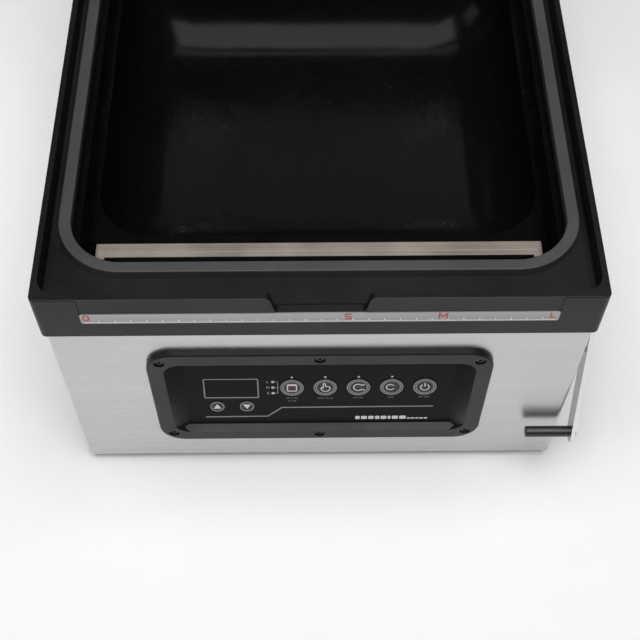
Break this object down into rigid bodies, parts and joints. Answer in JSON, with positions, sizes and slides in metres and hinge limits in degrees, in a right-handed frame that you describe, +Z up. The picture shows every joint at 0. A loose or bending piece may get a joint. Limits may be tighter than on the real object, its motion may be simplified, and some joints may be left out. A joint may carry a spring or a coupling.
{
  "type": "vacuum sealer",
  "caption": "Countertop chamber vacuum sealer with a deep basin, hinged clear lid, lifting seal bar, recessed key panel and a side swing arm.",
  "frame": {"origin": "centre of the pressed pad in the middle of the base plate's underside", "axes": "+X to the right seen from the front, +Y to the rear, +Z up"},
  "size_m": [0.3638, 0.4829, 0.6257],
  "materials": {
    "brushed_steel_sheet": "horizontal brushed grain",
    "plain_steel_sheet": "dull",
    "frame_plastic": "fine moulded grain",
    "gloss_black": "high gloss",
    "bezel_plastic": "satin",
    "panel_face": "satin printed film",
    "seal_rubber": "smooth",
    "black_rubber": "matt",
    "ruler_film": "printed silver film",
    "screw_steel": "bright",
    "black_screw": "black oxide",
    "key_plastic": "satin",
    "dark_window": "high gloss",
    "lamp_lens": "gloss",
    "circuit_board": "satin",
    "black_plastic": "satin",
    "release_tape": "woven film",
    "bar_aluminium": "milled",
    "heating_alloy": "drawn",
    "clear_acrylic": "polished clear",
    "silicone": "matt",
    "polished_steel": "polished",
    "grip_plastic": "satin",
    "cast_housing": "cast",
    "cast_aluminium": "cast",
    "shaft_steel": "ground",
    "brass": "bright",
    "core_steel": "varnished"
  },
  "bodies": {
    "cabinet": {"base_plate": "plain_steel_sheet", "feet": "black_rubber", "case_screws": "screw_steel", "front_panel": "brushed_steel_sheet", "side_panel_left": "brushed_steel_sheet", "side_panel_right": "brushed_steel_sheet", "rear_panel": "brushed_steel_sheet", "corner_posts": "plain_steel_sheet", "top_frame": "frame_plastic", "measuring_strip": "ruler_film", "chamber_gasket": "seal_rubber", "chamber_liner": "gloss_black", "vacuum_port": "black_plastic", "seal_bar_cylinders": "black_plastic", "hinge_brackets": "polished_steel", "hinge_pins": "shaft_steel", "lid_sensor": "black_plastic", "control_bezel": "bezel_plastic", "bezel_screws": "black_screw", "control_plate": "panel_face", "display_window": "dark_window", "indicator_lights": "lamp_lens", "control_board": "circuit_board", "key_switches": "black_plastic", "arm_pivot_bolt": "polished_steel", "arm_stop_pin": "shaft_steel", "pump_motor": "cast_housing", "pump_heads": "cast_aluminium", "pump_mounts": "black_rubber", "fan_frame": "black_plastic", "fan_guard": "screw_steel", "power_inlet": "black_plastic", "inlet_pins": "brass", "switch_housing": "black_plastic", "fuse_holder": "black_plastic", "main_board": "circuit_board", "transformer": "core_steel", "solenoid_valves": "black_plastic", "vacuum_hoses": "black_rubber"},
    "lid": {"lid_panel": "clear_acrylic", "lid_hinge_arms": "polished_steel", "lid_screws": "screw_steel", "lid_backing_bar": "bar_aluminium", "lid_silicone_strip": "silicone"},
    "seal_bar": {"seal_bar_body": "bar_aluminium", "seal_bar_pins": "shaft_steel", "heating_wires": "heating_alloy", "seal_bar_tape": "release_tape"},
    "side_arm": {"arm_strip": "polished_steel", "arm_grip": "grip_plastic"},
    "rocker": {"power_rocker": "black_plastic"},
    "fan": {"fan_rotor": "black_plastic"},
    "pump_shaft": {"pump_rotor": "shaft_steel"},
    "key_reseal_body": {"key_reseal": "key_plastic"},
    "key_cushion_body": {"key_cushion": "key_plastic"},
    "key_marinate_body": {"key_marinate": "key_plastic"},
    "key_seal_body": {"key_seal": "key_plastic"},
    "key_power_body": {"key_power": "key_plastic"},
    "key_up_body": {"key_up": "key_plastic"},
    "key_down_body": {"key_down": "key_plastic"}
  },
  "joints": [
    {"name": "lid_hinge", "type": "hinge", "parent": "cabinet", "child": "lid", "pos_m": [0, 0.184, 0.2235], "axis": [1, 0, 0], "range_deg": [0, 100]},
    {"name": "seal_bar_lift", "type": "slide", "parent": "cabinet", "child": "seal_bar", "axis": [0, 0, 1], "range_m": [0, 0.008]},
    {"name": "side_arm_pivot", "type": "hinge", "parent": "cabinet", "child": "side_arm", "pos_m": [0.1745, -0.192, 0.152], "axis": [-1, 0, 0], "range_deg": [0, 90]},
    {"name": "power_rocker_tilt", "type": "hinge", "parent": "cabinet", "child": "rocker", "pos_m": [0.06, 0.215, 0.045], "axis": [1, 0, 0], "range_deg": [-16, 0]},
    {"name": "fan_spin", "type": "hinge", "parent": "cabinet", "child": "fan", "pos_m": [-0.095, 0.207, 0.058], "axis": [0, 1, 0], "continuous": true},
    {"name": "pump_spin", "type": "hinge", "parent": "cabinet", "child": "pump_shaft", "pos_m": [0, 0.045, 0.047], "axis": [1, 0, 0], "continuous": true},
    {"name": "key_reseal_press", "type": "slide", "parent": "cabinet", "child": "key_reseal_body", "axis": [0, 0.9732, -0.23], "range_m": [0, 0.0008], "stiffness_N_per_m": 600},
    {"name": "key_cushion_press", "type": "slide", "parent": "cabinet", "child": "key_cushion_body", "axis": [0, 0.9732, -0.23], "range_m": [0, 0.0008], "stiffness_N_per_m": 600},
    {"name": "key_marinate_press", "type": "slide", "parent": "cabinet", "child": "key_marinate_body", "axis": [0, 0.9732, -0.23], "range_m": [0, 0.0008], "stiffness_N_per_m": 600},
    {"name": "key_seal_press", "type": "slide", "parent": "cabinet", "child": "key_seal_body", "axis": [0, 0.9732, -0.23], "range_m": [0, 0.0008], "stiffness_N_per_m": 600},
    {"name": "key_power_press", "type": "slide", "parent": "cabinet", "child": "key_power_body", "axis": [0, 0.9732, -0.23], "range_m": [0, 0.0008], "stiffness_N_per_m": 600},
    {"name": "key_up_press", "type": "slide", "parent": "cabinet", "child": "key_up_body", "axis": [0, 0.9732, -0.23], "range_m": [0, 0.0008], "stiffness_N_per_m": 600},
    {"name": "key_down_press", "type": "slide", "parent": "cabinet", "child": "key_down_body", "axis": [0, 0.9732, -0.23], "range_m": [0, 0.0008], "stiffness_N_per_m": 600}
  ]
}
